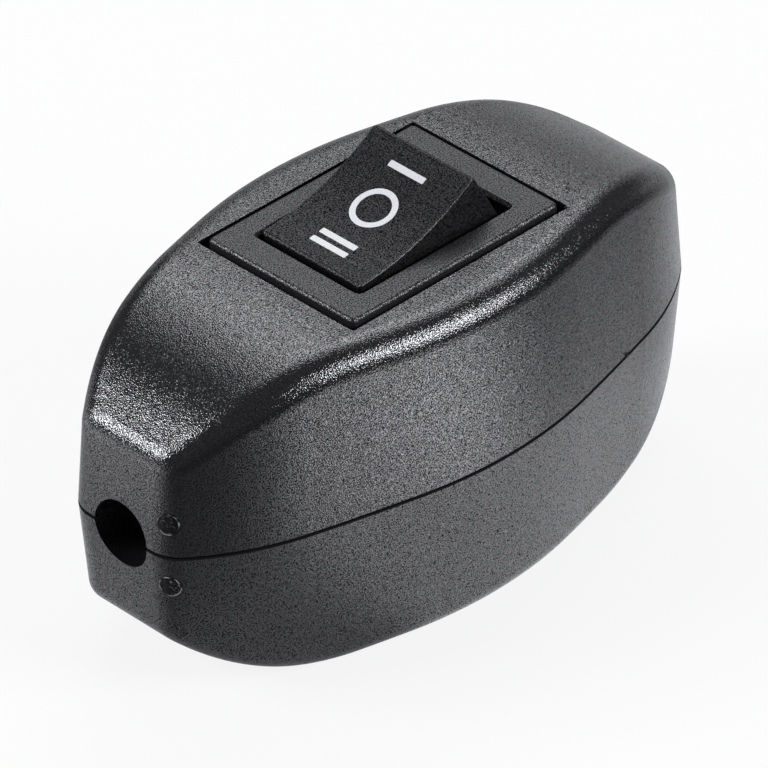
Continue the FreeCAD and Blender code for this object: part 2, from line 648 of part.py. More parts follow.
def bridge_contact(side):
    """Domed rivet under one arm of the bridge, flush with its top."""
    under, over = BRIDGE_ARM
    low = under - RIVET_RIM
    edges = [arc(Vector(0, 0, low - RIVET_DOME), Vector(RIVET_RADIUS / 2, 0, low - 0.76 * RIVET_DOME),
                 Vector(RIVET_RADIUS, 0, low))]
    edges += polyline([Vector(RIVET_RADIUS, 0, low), Vector(RIVET_RADIUS, 0, under),
                       Vector(RIVET_SHANK, 0, under), Vector(RIVET_SHANK, 0, over), Vector(0, 0, over),
                       Vector(0, 0, low - RIVET_DOME)])
    rivet = Part.Face(Part.Wire(edges)).revolve(Vector(0, 0, 0), Z_AXIS, 360)
    rivet.translate(Vector(side * RIVET_X, 0, 0))
    return tilted_with_bridge(rivet)


def terminal_blade(x, top):
    """Flat blade of a terminal with a bevelled end and an eye, hanging below the base."""
    low = BODY_BOTTOM - TERMINAL_REACH
    half = TERMINAL_WIDTH / 2
    narrow = half - TERMINAL_BEVEL
    shoulder = low + TERMINAL_BEVEL
    points = [Vector(x, -half, top), Vector(x, -half, shoulder), Vector(x, -narrow, low),
              Vector(x, narrow, low), Vector(x, half, shoulder), Vector(x, half, top)]
    blade = Part.Face(Part.Wire(polyline(points + points[:1]))).extrude(Vector(TERMINAL_THICKNESS, 0, 0))
    blade.translate(Vector(-TERMINAL_THICKNESS / 2, 0, 0))
    eye_radius, eye_height = TERMINAL_EYE
    return blade.cut(rod_along_x(eye_radius, x - OVERRUN, x + OVERRUN, low + eye_height))


def common_terminal():
    """Middle terminal: blade, post and the knife edge that the bridge rocks on."""
    width = BRIDGE_WIDTH
    stem = box(2 * KNIFE_RADIUS, width, BASE_FLOOR, KNIFE.z)
    edge = Part.makeCylinder(KNIFE_RADIUS, width, Vector(0, -width / 2, KNIFE.z), Y_AXIS)
    return terminal_blade(0, BASE_FLOOR).fuse([stem, edge]).removeSplitter()


def end_terminal(side):
    """Outer terminal: blade and a tab turned inwards on the base, with a hole for its contact."""
    inner = TERMINAL_TAB
    outer = TERMINAL_X + TERMINAL_THICKNESS / 2
    tab = box(outer - inner, TERMINAL_WIDTH - TERMINAL_TAB_INSET, BASE_FLOOR,
              BASE_FLOOR + TERMINAL_THICKNESS, side * (inner + outer) / 2)
    terminal = terminal_blade(side * TERMINAL_X, BASE_FLOOR).fuse(tab)
    hole = post(RIVET_HOLE, BASE_FLOOR - 1, BASE_FLOOR + OVERRUN, side * RIVET_X)
    hole = hole.cut(box(OVERRUN, OVERRUN, BODY_BOTTOM - 1, BASE_FLOOR, side * RIVET_X))
    return terminal.cut(hole).removeSplitter()


def fixed_contact(side):
    """Flat rivet on an outer terminal's tab."""
    seat = BASE_FLOOR + TERMINAL_THICKNESS
    head = post(RIVET_RADIUS, seat, seat + FIXED_RIVET_HEIGHT)
    top_edge = [e for e in head.Edges if e.BoundBox.ZMin > seat + FIXED_RIVET_HEIGHT / 2]
    head = head.makeChamfer(FIXED_RIVET_BEVEL, top_edge)
    rivet = head.fuse(post(RIVET_SHANK, BASE_FLOOR, seat + 0.1)).removeSplitter()
    rivet.translate(Vector(side * RIVET_X, 0, 0))
    return rivet


def build_parts():
    """All the pieces, by node name."""
    parts = {
        "upper_housing": upper_housing(),
        "lower_housing": lower_housing(),
        "switch_frame": switch_frame(),
        "rocker_cap": rocker_cap(),
        "plunger": plunger(),
        "plunger_spring": plunger_spring(),
        "contact_bridge": contact_bridge(),
        "common_terminal": common_terminal(),
    }
    for name, side in (("one", 1), ("two", -1)):
        parts["terminal_" + name] = end_terminal(side)
        parts["fixed_contact_" + name] = fixed_contact(side)
        parts["bridge_contact_" + name] = bridge_contact(side)
        parts["cord_clamp_" + name] = cord_clamp(side)
    for name, place in zip(("one", "two"), screw_places()):
        parts["housing_screw_" + name] = housing_screw(*place)
    for name, place in zip(("one", "two", "three", "four"), clamp_screw_places()):
        parts["clamp_screw_" + name] = clamp_screw(*place)
    return parts


os.makedirs("parts", exist_ok=True)
for node, shape in build_parts().items():
    solids = shape.Solids
    if len(solids) != 1 or not shape.isValid():
        raise ValueError(node + " is not one valid solid")
    solids[0].exportStep("parts/" + node + ".step")
    print(node, round(shape.Volume, 2), "mm3,", len(shape.Faces), "faces")
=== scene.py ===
"""Looks of an inline cord switch: moulded plastics, printed marks, mould scars, screw threads and studio.

Lengths are millimetres times MM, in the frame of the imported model: +X along the cord towards the I end,
+Z up, and the origin in the middle of the bottom face.
"""
import json
import math

import bmesh
import bpy
from mathutils import Matrix, Vector, noise
from mathutils.bvhtree import BVHTree


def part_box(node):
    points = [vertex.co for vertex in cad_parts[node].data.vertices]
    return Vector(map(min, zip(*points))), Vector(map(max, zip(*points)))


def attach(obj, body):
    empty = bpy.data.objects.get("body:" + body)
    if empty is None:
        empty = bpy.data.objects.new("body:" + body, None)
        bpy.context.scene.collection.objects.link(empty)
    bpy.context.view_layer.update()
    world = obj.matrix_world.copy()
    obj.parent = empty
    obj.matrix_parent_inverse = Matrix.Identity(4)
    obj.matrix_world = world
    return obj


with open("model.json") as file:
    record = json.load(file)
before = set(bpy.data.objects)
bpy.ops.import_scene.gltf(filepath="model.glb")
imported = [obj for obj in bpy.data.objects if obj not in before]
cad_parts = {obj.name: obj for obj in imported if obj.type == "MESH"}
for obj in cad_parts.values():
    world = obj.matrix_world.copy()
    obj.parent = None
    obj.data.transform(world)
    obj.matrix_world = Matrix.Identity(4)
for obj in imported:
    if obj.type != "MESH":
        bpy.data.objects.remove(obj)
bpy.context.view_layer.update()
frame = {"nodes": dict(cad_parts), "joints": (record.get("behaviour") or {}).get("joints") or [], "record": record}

bl_info = {
    "name": "Inline Cord Switch",
    "version": (1, 0, 0),
    "blender": (4, 5, 0),
    "location": "View3D > Sidebar > Cord Switch",
    "description": "Plastics, printed marks, mould scars, screw threads and studio of an inline cord switch",
    "category": "Object",
}

MM = 0.001
JOINTS = {joint["name"]: joint for joint in frame["joints"]}
MOUNTS = {mount["name"]: mount for mount in frame["record"]["mounts"]}

# The rocker's own frame: its pivot, and the angle that it leans by with the II end pressed
PIVOT = Vector(JOINTS["rocker_tilt"]["pos_m"])
TILT = -math.radians(JOINTS["rocker_tilt"]["range_deg"][1]) / 2

# The seam runs through the middle of the cord holes
SEAM_HEIGHT = MOUNTS["cord_inlet_one"]["pos_m"][2]


def linear(hex_colour):
    """Turns an sRGB hex colour such as "#2a2a2c" into linear RGBA."""
    channels = [int(hex_colour[i:i + 2], 16) / 255 for i in (1, 3, 5)]
    spread = [c / 12.92 if c <= 0.04045 else ((c + 0.055) / 1.055) ** 2.4 for c in channels]
    return (*spread, 1.0)


def length_property(name, description, millimetres):
    """A length that a user may change, shown in the scene's units."""
    return bpy.props.FloatProperty(name=name, description=description, default=millimetres * MM,
                                   min=0.0, precision=5, subtype="DISTANCE", unit="LENGTH")


def angle_property(name, description, degrees):
    """An angle that a user may change."""
    return bpy.props.FloatProperty(name=name, description=description, default=math.radians(degrees),
                                   subtype="ANGLE", unit="ROTATION")


def colour_property(name, description, hex_colour):
    """A colour that a user may change."""
    return bpy.props.FloatVectorProperty(name=name, description=description, size=4, min=0.0, max=1.0,
                                         default=linear(hex_colour), subtype="COLOR")


class CordSwitchPlastics(bpy.types.PropertyGroup):
    """Colours and grain of the moulded pieces."""
    shell_colour: colour_property("Shells", "Colour of the two housing shells", "#1c1c1e")
    frame_colour: colour_property("Switch body", "Colour of the flange and body of the switch", "#262628")
    cap_colour: colour_property("Rocker", "Colour of the rocker cap", "#101011")
    clamp_colour: colour_property("Clamps", "Colour of the cord clamps", "#3a3a3d")
    plunger_colour: colour_property("Plunger", "Colour of the rocker's plunger", "#e9e6da")
    grain_pitch: length_property("Grain pitch", "Spacing of the pebbles in the shells' grain", 0.092)
    grain_depth: length_property("Grain depth", "Height of the pebbles in the shells' grain", 0.0265)
    fine_pitch: length_property("Fine grain pitch", "Spacing of the switch's fine matte grain", 0.11)
    fine_depth: length_property("Fine grain depth", "Depth of the switch's fine matte grain", 0.032)


class CordSwitchMetals(bpy.types.PropertyGroup):
    """Colours of the metal pieces."""
    zinc_colour: colour_property("Screws", "Colour of the zinc-plated screws", "#c3c6cb")
    wire_colour: colour_property("Spring", "Colour of the plunger spring's wire", "#a6a6a8")
    brass_colour: colour_property("Brass", "Colour of the terminals and the bridge", "#d9b56a")
    silver_colour: colour_property("Contacts", "Colour of the contact rivets", "#e6e4df")
    rolling_pitch: length_property("Rolling pitch", "Spacing of the rolling lines in the brass strip", 0.08)
    housing_thread: length_property("Housing screw pitch", "Pitch of the housing screws' thread", 1.25)
    clamp_thread: length_property("Clamp screw pitch", "Pitch of the clamp screws' thread", 0.9)
    thread_height: length_property("Thread height", "Height of a thread above its shank", 0.16)


class CordSwitchMarks(bpy.types.PropertyGroup):
    """Sizes of the I, O and II marks, measured along the rocker's dish from above its pivot."""
    ink_colour: colour_property("Ink", "Colour of the printed marks", "#f3f3f5")
    bar_length: length_property("Bar length", "Length of each bar across the rocker", 3.53)
    bar_width: length_property("Bar width", "Width of each bar", 0.52)
    corner: length_property("Bar corner", "Corner radius of each bar", 0.08)
    one_place: length_property("I place", "Distance from the pivot to the I bar", 4.04)
    ring_place: length_property("O place", "Distance from the pivot to the middle of the ring", 0.37)
    two_place: length_property("II place", "Distance from the pivot to the middle of the II bars", 3.77)
    two_pitch: length_property("II pitch", "Distance between the middles of the II bars", 0.965)
    ring_radius: length_property("O radius", "Outer radius of the ring", 1.83)
    ring_stroke: length_property("O stroke", "Width of the ring's line", 0.48)
    ink_thickness: length_property("Ink thickness", "Height of the print above the plastic", 0.02)


class CordSwitchMouldScars(bpy.types.PropertyGroup):
    """The round scars of the mould's gates, on the corner by the II end's cord hole, and the flash."""
    gate_radius: length_property("Gate radius", "Radius of each gate scar", 0.95)
    gate_relief: length_property("Gate relief", "Height of the broken rim of each gate scar", 0.09)
    upper_gate: length_property("Upper gate", "Height of the upper shell's gate above the seam", 2.86)
    lower_gate: length_property("Lower gate", "Depth of the lower shell's gate under the seam", 2.57)
    flash_thickness: length_property("Flash", "Thickness of the flash at the seam and the recess", 0.07)


class CordSwitchStage(bpy.types.PropertyGroup):
    """Camera and floor."""
    azimuth: angle_property("Azimuth", "Camera's turn about the switch", -44.442)
    elevation: angle_property("Elevation", "Camera's height angle", 35.299)
    roll: angle_property("Roll", "Camera's turn about its own axis", -0.699)
    distance: length_property("Distance", "From the camera to the middle of the switch", 614.7)
    lens: bpy.props.FloatProperty(name="Lens", description="Focal length on a 36 mm sensor", default=396.9,
                                  subtype="DISTANCE_CAMERA")
    floor_colour: colour_property("Floor", "Colour of the floor", "#ededed")


def add(tree, kind, inputs=None, **settings):
    """Adds a node, sets its attributes, and sets or links its inputs by name or number."""
    node = tree.nodes.new(kind)
    for name, value in settings.items():
        setattr(node, name, value)
    for name, value in (inputs or {}).items():
        if isinstance(value, bpy.types.NodeSocket):
            tree.links.new(value, node.inputs[name])
        else:
            node.inputs[name].default_value = value
    return node


def new_material(name, constants):
    """A material whose Principled shader has the given values on its own sockets."""
    material = bpy.data.materials.new(name)
    material.use_nodes = True
    tree = material.node_tree
    tree.nodes.clear()
    shader = add(tree, "ShaderNodeBsdfPrincipled", constants)
    add(tree, "ShaderNodeOutputMaterial", {"Surface": shader.outputs["BSDF"]})
    return material, tree, shader


def connect(tree, node, sources):
    """Links sources to a node's inputs by name. An input's own constant stays under the link."""
    for name, source in sources.items():
        tree.links.new(source, node.inputs[name])


def dress(slot_name, material):
    """Gives a material to every CAD node that the record puts in a material slot."""
    for part in frame["record"]["subparts"]:
        if part["material_slot"] == slot_name:
            node = frame["nodes"][part["node"]]
            node.data.materials.clear()
            node.data.materials.append(material)


# A grain's height runs from 0 to 1. Below the first of these it is a valley, and above the second a top.
# Valleys mirror nothing and tops mirror the more: a painted shade and a painted highlight on the grain.
GRAIN_VALLEY = 0.24
GRAIN_TOP = 0.8


def shine_with_painted_valley_shade(tree, height, top_shine):
    """How strongly a grain mirrors, as painted light: fully on its tops, and not in its valleys, a painted shade.
    """
    return add(tree, "ShaderNodeMapRange", {"Value": height, "From Min": GRAIN_VALLEY, "From Max": GRAIN_TOP,
                                            "To Min": 0.0, "To Max": top_shine},
               interpolation_type="SMOOTHSTEP").outputs[0]


# How far from an edge fingers wear it and its mirroring is raised as a painted highlight, and how alike its
# true and its rounded normals are, as their dot product, where the wear begins and where it is full
WEAR_AND_SHEEN_REACH = 0.16 * MM
WEAR_AND_SHEEN_BEGINS = 0.995
WEAR_AND_SHEEN_FULL = 0.93


def edge_wear_and_sheen(tree):
    """Edges that fingers rub, with a painted highlight: 1 on an edge, and 0 on the faces beyond its wear."""
    rounded = add(tree, "ShaderNodeBevel", {"Radius": WEAR_AND_SHEEN_REACH}, samples=4).outputs[0]
    flat = add(tree, "ShaderNodeNewGeometry").outputs["True Normal"]
    alike = add(tree, "ShaderNodeVectorMath", {0: rounded, 1: flat}, operation="DOT_PRODUCT")
    return add(tree, "ShaderNodeMapRange", {"Value": alike.outputs["Value"], "From Min": WEAR_AND_SHEEN_BEGINS,
                                            "From Max": WEAR_AND_SHEEN_FULL}).outputs[0]


# The shells' ground rims: how far each reaches from the seam, and how dull it is. There the plastic mirrors
# nothing, a painted shade along the seam.
RIM_WIDTH = 0.1 * MM
RIM_ROUGHNESS = 0.55


def spark_eroded_abs(colour, pitch, depth):
    """Black ABS moulded in a spark-eroded tool.

    The tool's craters leave rounded pebbles. Each one mirrors the lamps in a small glint of its own, so a
    lamp's image breaks into glitter with a soft border. The pebbles' valleys mirror nothing: a painted
    shade. The grain stops at the seam, where the two shells' ground rims are dull and mirror nothing: a
    painted shade that darkens the seam.
    """
    pebble_roughness = 0.13
    mean_shine, top_shine = 0.85, 2.0
    material, tree, shader = new_material("spark_eroded_abs", {
        "Base Color": colour, "Roughness": pebble_roughness, "IOR": 1.54, "Specular IOR Level": mean_shine})
    place = add(tree, "ShaderNodeTexCoord").outputs["Object"]
    height = add(tree, "ShaderNodeSeparateXYZ", {0: place}).outputs["Z"]
    over_seam = add(tree, "ShaderNodeMath", {0: height, 1: SEAM_HEIGHT}, operation="SUBTRACT").outputs[0]
    off_seam = add(tree, "ShaderNodeMath", {0: over_seam}, operation="ABSOLUTE").outputs[0]
    grain_beyond_dull_shaded_rim = add(tree, "ShaderNodeMapRange", {"Value": off_seam, "From Min": RIM_WIDTH,
                                               "From Max": 1.5 * RIM_WIDTH}).outputs[0]
    gloss = add(tree, "ShaderNodeMapRange", {"Value": grain_beyond_dull_shaded_rim, "To Min": RIM_ROUGHNESS,
                                             "To Max": pebble_roughness})
    pebbles = add(tree, "ShaderNodeTexNoise", {"Vector": place, "Scale": 1 / pitch,
                                               "Detail": 0.0}).outputs[0]
    # Painted shade and highlight: the pebbles' valleys mirror nothing and their tops mirror the more
    shine = shine_with_painted_valley_shade(tree, pebbles, top_shine)
    # Painted shade: the ground rims by the seam mirror nothing, which darkens the seam's line
    shine = add(tree, "ShaderNodeMath", {0: shine, 1: grain_beyond_dull_shaded_rim}, operation="MULTIPLY")
    bump = add(tree, "ShaderNodeBump", {"Height": pebbles, "Distance": depth})
    connect(tree, shader, {"Roughness": gloss.outputs[0], "Specular IOR Level": shine.outputs[0],
                           "Normal": bump.outputs[0]})
    return material


def fine_matte(name, colour, pitch, depth, roughness, shine, wear_and_sheen=0.0):
    """Plastic from a finely blasted tool: an even satin with a grain that just shows.

    The real grain is finer than a pixel, so it is drawn about twice as coarse. Where wear is given, it is
    how much more an edge mirrors than the faces do: a painted highlight on the edges, which also turn
    glossier as real wear.
    """
    top_shine = 2.2 * shine
    worn_roughness = 0.6 * roughness
    material, tree, shader = new_material(name, {
        "Base Color": colour, "Roughness": roughness, "IOR": 1.53, "Specular IOR Level": shine})
    place = add(tree, "ShaderNodeTexCoord").outputs["Object"]
    grain = add(tree, "ShaderNodeTexNoise", {"Vector": place, "Scale": 1 / pitch, "Detail": 0.0}).outputs[0]
    # Painted shade and highlight: the grain's valleys mirror nothing and its tops mirror the more
    level = shine_with_painted_valley_shade(tree, grain, top_shine)
    if wear_and_sheen:
        worn_and_sheen = edge_wear_and_sheen(tree)
        gloss = add(tree, "ShaderNodeMapRange", {"Value": worn_and_sheen, "To Min": roughness,
                                                 "To Max": worn_roughness})
        # Painted highlight: the worn edges mirror more than the faces
        level = add(tree, "ShaderNodeMath", {0: worn_and_sheen, 1: wear_and_sheen, 2: level},
                    operation="MULTIPLY_ADD").outputs[0]
        connect(tree, shader, {"Roughness": gloss.outputs[0]})
    bump = add(tree, "ShaderNodeBump", {"Height": grain, "Distance": depth})
    connect(tree, shader, {"Specular IOR Level": level, "Normal": bump.outputs[0]})
    return material


def moulded_acetal(colour):
    """Natural acetal: waxy off-white that light sinks into a little, with faint flow streaks."""
    streak_pitch, streak_depth = 0.6 * MM, 0.01 * MM
    material, tree, shader = new_material("moulded_acetal", {
        "Base Color": colour, "Roughness": 0.38, "IOR": 1.48, "Subsurface Weight": 0.15,
        "Subsurface Scale": 1 * MM})
    place = add(tree, "ShaderNodeTexCoord").outputs["Object"]
    flow = add(tree, "ShaderNodeTexNoise", {"Vector": place, "Scale": 1 / streak_pitch, "Detail": 3.0})
    bump = add(tree, "ShaderNodeBump", {"Height": flow.outputs[0], "Distance": streak_depth})
    connect(tree, shader, {"Normal": bump.outputs[0]})
    return material


def worked_metal(name, colour, roughness, spacing, depth):
    """Metal with fine lines or dimples: spacing gives the size of its pattern along X, Y and Z."""
    # Most of a noise lies between these, and the gloss swings this much about its roughness
    noise_low, noise_high = 0.3, 0.7
    swing = 0.08
    material, tree, shader = new_material(name, {"Base Color": colour, "Metallic": 1.0})
    place = add(tree, "ShaderNodeTexCoord").outputs["Object"]
    scaled = add(tree, "ShaderNodeMapping", {"Vector": place, "Scale": [1 / size for size in spacing]})
    lines = add(tree, "ShaderNodeTexNoise", {"Vector": scaled.outputs[0], "Scale": 1.0,
                                             "Detail": 3.0}).outputs[0]
    gloss = add(tree, "ShaderNodeMapRange", {"Value": lines, "From Min": noise_low, "From Max": noise_high,
                                             "To Min": roughness - swing, "To Max": roughness + swing})
    bump = add(tree, "ShaderNodeBump", {"Height": lines, "Distance": depth})
    connect(tree, shader, {"Roughness": gloss.outputs[0], "Normal": bump.outputs[0]})
    return material


class CORDSWITCH_OT_plastics(bpy.types.Operator):
    """Finish the shells, the switch body, the rocker, the clamps and the plunger"""
    bl_idname = "cordswitch.plastics"
    bl_label = "Plastics"

    def execute(self, context):
        values = context.scene.cordswitch_plastics
        fine = (values.fine_pitch, values.fine_depth)
        dress("housing", spark_eroded_abs(values.shell_colour, values.grain_pitch, values.grain_depth))
        # Nylon: grey-black, with the most shine of the three fine finishes
        dress("switch_body", fine_matte("blasted_nylon", values.frame_colour, *fine, roughness=0.34,
                                        shine=0.55))
        # Polycarbonate: a deep dull black whose edges fingers have rubbed glossier, with a painted highlight on
        # them
        dress("rocker", fine_matte("blasted_polycarbonate", values.cap_colour, *fine, roughness=0.45,
                                   shine=0.3, wear_and_sheen=1.4))
        # Nylon filled with glass fibre: a flat dark grey
        dress("clamp", fine_matte("glass_filled_nylon", values.clamp_colour, *fine, roughness=0.5,
                                  shine=0.5))
        dress("plunger_plastic", moulded_acetal(values.plunger_colour))
        return {"FINISHED"}


class CORDSWITCH_OT_metals(bpy.types.Operator):
    """Finish the screws, the spring, the brass and the contact rivets"""
    bl_idname = "cordswitch.metals"
    bl_label = "Metals"

    def execute(self, context):
        values = context.scene.cordswitch_metals
        # The crystals and the rolling lines are finer than a pixel, so both are drawn coarser than they are
        grit = 3 * (0.1 * MM,)
        along_strip = (1.5 * MM, values.rolling_pitch, values.rolling_pitch)
        coarse, soft = 0.003 * MM, 0.002 * MM
        # Zinc plate: a bright blue-grey with the fine frost of its crystals
        dress("screw_steel", worked_metal("zinc_plated_steel", values.zinc_colour, 0.3, grit, coarse))
        # Drawn wire: a plain steel grey, dulled by the die
        dress("spring_steel", worked_metal("drawn_spring_wire", values.wire_colour, 0.34, grit, soft))
        # Rolled brass: yellow, with highlights drawn out along the strip
        dress("brass", worked_metal("rolled_brass", values.brass_colour, 0.3, along_strip, coarse))
        # Silver alloy pressed to a rivet: pale, with a soft bright highlight
        dress("silver_contact", worked_metal("silver_contact_alloy", values.silver_colour, 0.26, grit, soft))
        return {"FINISHED"}


SOCKETS = {"float": "NodeSocketFloat", "vector": "NodeSocketVector", "object": "NodeSocketObject",
           "material": "NodeSocketMaterial"}


def new_tree(name, inputs):
    """A geometry node tree with named inputs. Returns it with its input sockets by name."""
    tree = bpy.data.node_groups.new(name, "GeometryNodeTree")
    for label, kind in inputs.items():
        tree.interface.new_socket(name=label, in_out="INPUT", socket_type=SOCKETS[kind])
    tree.interface.new_socket(name="Geometry", in_out="OUTPUT", socket_type="NodeSocketGeometry")
    return tree, tree.nodes.new("NodeGroupInput").outputs


def close_tree(tree, geometry, material):
    """Ends a tree in Realize Instances and Set Material."""
    real = add(tree, "GeometryNodeRealizeInstances", {"Geometry": geometry})
    dressed = add(tree, "GeometryNodeSetMaterial", {"Geometry": real.outputs[0], "Material": material})
    add(tree, "NodeGroupOutput", {"Geometry": dressed.outputs[0]})


def bake(name, tree, values):
    """Runs a tree on an empty mesh, keeps what it makes as a plain mesh, and removes the modifier."""
    obj = bpy.data.objects.new(name, bpy.data.meshes.new(name))
    bpy.context.scene.collection.objects.link(obj)
    modifier = obj.modifiers.new("made", "NODES")
    modifier.node_group = tree
    for item in tree.interface.items_tree:
        if item.in_out == "INPUT" and item.name in values:
            modifier[item.identifier] = values[item.name]
    graph = bpy.context.evaluated_depsgraph_get()
    mesh = bpy.data.meshes.new_from_object(obj.evaluated_get(graph))
    obj.modifiers.remove(modifier)
    obj.data = mesh
    return obj


def pad_print_ink(colour):
    """White pad-printing ink: nearly opaque, with the faint mottle that the silicone pad leaves."""
    mottle_pitch, mottle_depth = 0.1 * MM, 0.008 * MM
    thin_share = 0.7
    material, tree, shader = new_material("pad_print_ink", {"Roughness": 0.5, "IOR": 1.48})
    place = add(tree, "ShaderNodeTexCoord").outputs["Object"]
    mottle = add(tree, "ShaderNodeTexNoise", {"Vector": place, "Scale": 1 / mottle_pitch,
                                              "Detail": 1.0}).outputs[0]
    thin = [channel * thin_share for channel in colour[:3]] + [1.0]
    shade = add(tree, "ShaderNodeMix", {"Factor": mottle, 6: thin, 7: colour}, data_type="RGBA")
    bump = add(tree, "ShaderNodeBump", {"Height": mottle, "Distance": mottle_depth})
    connect(tree, shader, {"Base Color": shade.outputs[2], "Normal": bump.outputs[0]})
    return material


# How finely the marks' corners and rings are drawn, and how close points are when they become one
CORNER_STEPS = 4
RING_STEPS = 96
WELD = 0.001 * MM


def pad_print_tree():
    """The marks' flat outlines, filled, dropped along the cap's axis onto its dish and given a thickness."""
    sizes = ("Bar Length", "Bar Width", "Corner", "I Place", "O Place", "II Place", "II Pitch", "O Radius",
             "O Stroke", "Thickness", "Height")
    inputs = {"Cap": "object", "Pivot": "vector", "Lean": "vector", "Up": "vector", "Down": "vector",
              "Ink": "material", **{size: "float" for size in sizes}}
    tree, value = new_tree("pad_print", inputs)
    bar = add(tree, "GeometryNodeCurvePrimitiveQuadrilateral", {"Width": value["Bar Width"],
                                                                "Height": value["Bar Length"]})
    bar = add(tree, "GeometryNodeFilletCurve", {"Curve": bar.outputs[0], "Count": CORNER_STEPS,
                                                "Radius": value["Corner"]}, mode="POLY")
    half_pitch = add(tree, "ShaderNodeMath", {0: value["II Pitch"], 1: 0.5}, operation="MULTIPLY").outputs[0]
    middle = add(tree, "ShaderNodeMath", {0: value["II Place"], 1: -1.0}, operation="MULTIPLY").outputs[0]
    nearer = add(tree, "ShaderNodeMath", {0: middle, 1: half_pitch}, operation="ADD").outputs[0]
    farther = add(tree, "ShaderNodeMath", {0: middle, 1: half_pitch}, operation="SUBTRACT").outputs[0]
    inner = add(tree, "ShaderNodeMath", {0: value["O Radius"], 1: value["O Stroke"]}, operation="SUBTRACT")
    rings = [add(tree, "GeometryNodeCurvePrimitiveCircle", {"Resolution": RING_STEPS, "Radius": radius})
             for radius in (value["O Radius"], inner.outputs[0])]
    shapes = [(bar, value["I Place"]), (bar, nearer), (bar, farther)]
    shapes += [(ring, value["O Place"]) for ring in rings]
    outlines = add(tree, "GeometryNodeJoinGeometry")
    for shape, place in shapes:
        offset = add(tree, "ShaderNodeCombineXYZ", {"X": place})
        moved = add(tree, "GeometryNodeTransform", {"Geometry": shape.outputs[0],
                                                    "Translation": offset.outputs[0]})
        tree.links.new(moved.outputs[0], outlines.inputs[0])
    flat = add(tree, "GeometryNodeFillCurve", {"Curve": outlines.outputs[0]}, mode="TRIANGLES")
    lifted = add(tree, "ShaderNodeVectorMath", {0: value["Up"], "Scale": value["Height"]}, operation="SCALE")
    above = add(tree, "ShaderNodeVectorMath", {0: value["Pivot"], 1: lifted.outputs[0]}, operation="ADD")
    leaning = add(tree, "GeometryNodeTransform", {"Geometry": flat.outputs[0], "Rotation": value["Lean"],
                                                  "Translation": above.outputs[0]})
    cap = add(tree, "GeometryNodeObjectInfo", {"Object": value["Cap"]}).outputs["Geometry"]
    met = add(tree, "GeometryNodeRaycast", {"Target Geometry": cap, "Ray Direction": value["Down"],
                                            "Ray Length": value["Height"]})
    laid = add(tree, "GeometryNodeSetPosition", {"Geometry": leaning.outputs[0],
                                                 "Position": met.outputs["Hit Position"]})
    thick = add(tree, "GeometryNodeExtrudeMesh", {"Mesh": laid.outputs[0], "Offset": value["Up"],
                                                  "Offset Scale": value["Thickness"], "Individual": False})
    under = add(tree, "GeometryNodeFlipFaces", {"Mesh": laid.outputs[0]})
    closed = add(tree, "GeometryNodeJoinGeometry", {"Geometry": thick.outputs[0]})
    tree.links.new(under.outputs[0], closed.inputs[0])
    merged = add(tree, "GeometryNodeMergeByDistance", {"Geometry": closed.outputs[0], "Distance": WELD})
    close_tree(tree, merged.outputs[0], value["Ink"])
    return tree


class CORDSWITCH_OT_marks(bpy.types.Operator):
    """Print the I, O and II marks on the rocker's dish"""
    bl_idname = "cordswitch.marks"
    bl_label = "Printed marks"

    def execute(self, context):
        values = context.scene.cordswitch_marks
        up = Matrix.Rotation(TILT, 3, "Y") @ Vector((0, 0, 1))
        # The flat print starts this far from the pivot, clear of the cap
        clear_height = 9 * MM
        marks = bake("printed_marks", pad_print_tree(), {
            "Cap": frame["nodes"]["rocker_cap"], "Pivot": PIVOT, "Lean": (0, TILT, 0), "Up": up, "Down": -up,
            "Ink": pad_print_ink(values.ink_colour), "Height": clear_height,
            "Thickness": values.ink_thickness, "Bar Length": values.bar_length,
            "Bar Width": values.bar_width, "Corner": values.corner,
            "I Place": values.one_place, "O Place": values.ring_place, "II Place": values.two_place,
            "II Pitch": values.two_pitch, "O Radius": values.ring_radius, "O Stroke": values.ring_stroke})
        if not marks.data.polygons:
            raise RuntimeError("the printed marks missed the rocker")
        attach(marks, "rocker")
        return {"FINISHED"}


# Points in each turn of a thread, the share of its length over which it runs out at each end, and how small
# its ridge is there
TURN_STEPS = 40
RUN_OUT = 0.08
RUN_OUT_RIDGE = 0.3


